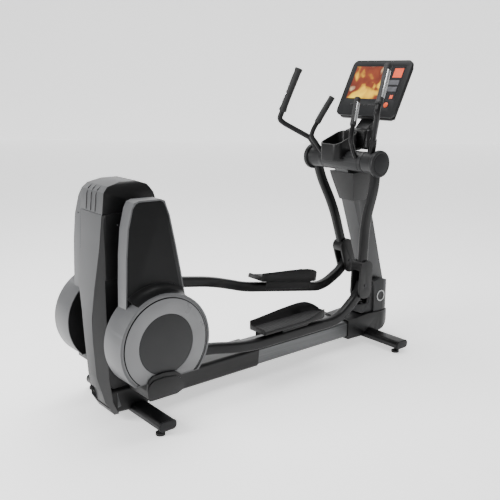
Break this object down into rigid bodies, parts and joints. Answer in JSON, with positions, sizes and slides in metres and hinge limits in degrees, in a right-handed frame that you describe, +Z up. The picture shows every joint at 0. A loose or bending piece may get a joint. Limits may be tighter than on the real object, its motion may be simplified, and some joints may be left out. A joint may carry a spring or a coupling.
{
  "type": "elliptical cross-trainer",
  "caption": "Rear-drive elliptical cross-trainer with swinging pedals, coupled arms, a covered flywheel tower and a tilted console.",
  "frame": {"origin": "on the floor, under the middle of the machine", "axes": "+X from the flywheel tower to the console, +Y to the left of a user who faces the console, +Z up"},
  "size_m": [2.01, 0.704, 1.6393],
  "materials": {
    "satin_metal": "satin",
    "graphite_paint": "satin graphite paint",
    "black_paint": "satin black paint",
    "graphite_plastic": "satin graphite moulding",
    "grey_plastic": "satin grey moulding",
    "ring_grey": "satin light grey moulding",
    "black_plastic": "fine-textured black",
    "black_rubber": "matt",
    "machined_steel": "machined",
    "bush_bronze": "plain",
    "cast_wheel": "machined rim",
    "belt_rubber": "ribbed",
    "screen_glass": "gloss display window",
    "stop_red": "gloss orange-red"
  },
  "bodies": {
    "frame": {"main_rail": "satin_metal", "rail_rear_cover": "black_plastic", "rear_foot_bar": "black_paint", "front_foot_bar": "black_paint", "foot_end_caps": "black_plastic", "levelling_feet": "black_rubber", "mast_post": "graphite_paint", "mast_lower_shroud": "graphite_plastic", "front_base_cover": "graphite_plastic", "mast_neck_cover": "black_plastic", "side_medallions": "ring_grey", "tower_frame": "graphite_paint", "tower_base_skirt": "black_plastic", "tower_rear_cover": "grey_plastic", "tower_top_cap": "grey_plastic", "tower_side_covers": "black_plastic", "pod_bands": "grey_plastic", "pod_panels": "graphite_plastic", "disc_rings": "ring_grey", "disc_centres": "graphite_plastic", "pod_inner_panels": "black_plastic", "pod_carriers": "graphite_paint", "crank_bearings": "machined_steel", "drive_belt": "belt_rubber", "alternator_belt": "belt_rubber", "alternator_housing": "graphite_paint", "swing_axle": "machined_steel", "swing_bushes": "bush_bronze", "crossbar_cover": "graphite_plastic", "fixed_handles": "black_paint", "fixed_grips": "black_rubber", "bin_tray": "black_plastic", "console_neck": "black_plastic", "console_back": "black_plastic", "console_bezel": "graphite_plastic", "screen_glass": "screen_glass"},
    "crank": {"crankshaft": "machined_steel", "crank_arms": "cast_wheel", "drive_pulley": "cast_wheel"},
    "idler": {"idler_pulley": "cast_wheel"},
    "flywheel": {"flywheel": "cast_wheel"},
    "stop_button": {"stop_button": "stop_red"},
    "swing_right": {"swing_arm_right": "black_paint", "hub_cover_right": "graphite_plastic", "handle_tube_right": "black_paint", "handle_grip_right": "black_rubber", "coupling_right": "black_plastic", "pivot_pin_right": "machined_steel"},
    "lever_right": {"pedal_lever_right": "black_paint", "pedal_tray_right": "black_plastic", "pedal_mat_right": "black_rubber"},
    "swing_left": {"swing_arm_left": "black_paint", "hub_cover_left": "graphite_plastic", "handle_tube_left": "black_paint", "handle_grip_left": "black_rubber", "coupling_left": "black_plastic", "pivot_pin_left": "machined_steel"},
    "lever_left": {"pedal_lever_left": "black_paint", "pedal_tray_left": "black_plastic", "pedal_mat_left": "black_rubber"}
  },
  "joints": [
    {"name": "crank_spin", "type": "hinge", "parent": "frame", "child": "crank", "pos_m": [-0.775, 0, 0.418], "axis": [0, 1, 0], "continuous": true},
    {"name": "idler_spin", "type": "hinge", "parent": "frame", "child": "idler", "pos_m": [-0.785, 0, 0.7], "axis": [0, 1, 0], "continuous": true},
    {"name": "flywheel_spin", "type": "hinge", "parent": "frame", "child": "flywheel", "pos_m": [-0.785, 0, 0.9], "axis": [0, 1, 0], "continuous": true},
    {"name": "stop_press", "type": "slide", "parent": "frame", "child": "stop_button", "axis": [0.891, 0, -0.454], "range_m": [0, 0.003], "stiffness_N_per_m": 400},
    {"name": "swing_right", "type": "hinge", "parent": "frame", "child": "swing_right", "pos_m": [0.645, -0.2, 1.092], "axis": [0, 1, 0], "range_deg": [-27.35, 6.35]},
    {"name": "swing_left", "type": "hinge", "parent": "frame", "child": "swing_left", "pos_m": [0.645, 0.2, 1.092], "axis": [0, 1, 0], "range_deg": [-6.35, 27.35]},
    {"name": "lever_right", "type": "hinge", "parent": "swing_right", "child": "lever_right", "pos_m": [0.61519, -0.18, 0.40264], "axis": [0, 1, 0], "range_deg": [-7, 30.1]},
    {"name": "lever_left", "type": "hinge", "parent": "swing_left", "child": "lever_left", "pos_m": [0.86404, 0.18, 0.43769], "axis": [0, 1, 0], "range_deg": [-30.1, 7]}
  ],
  "couplings": [
    {"joint": "idler_spin", "follows": "crank_spin", "ratio": 4.375},
    {"joint": "flywheel_spin", "follows": "crank_spin", "ratio": 15.144},
    {"joint": "swing_left", "follows": "swing_right", "ratio": -1},
    {"joint": "lever_right", "follows": "swing_right", "ratio": -1.1},
    {"joint": "lever_left", "follows": "swing_right", "ratio": 1.1}
  ]
}
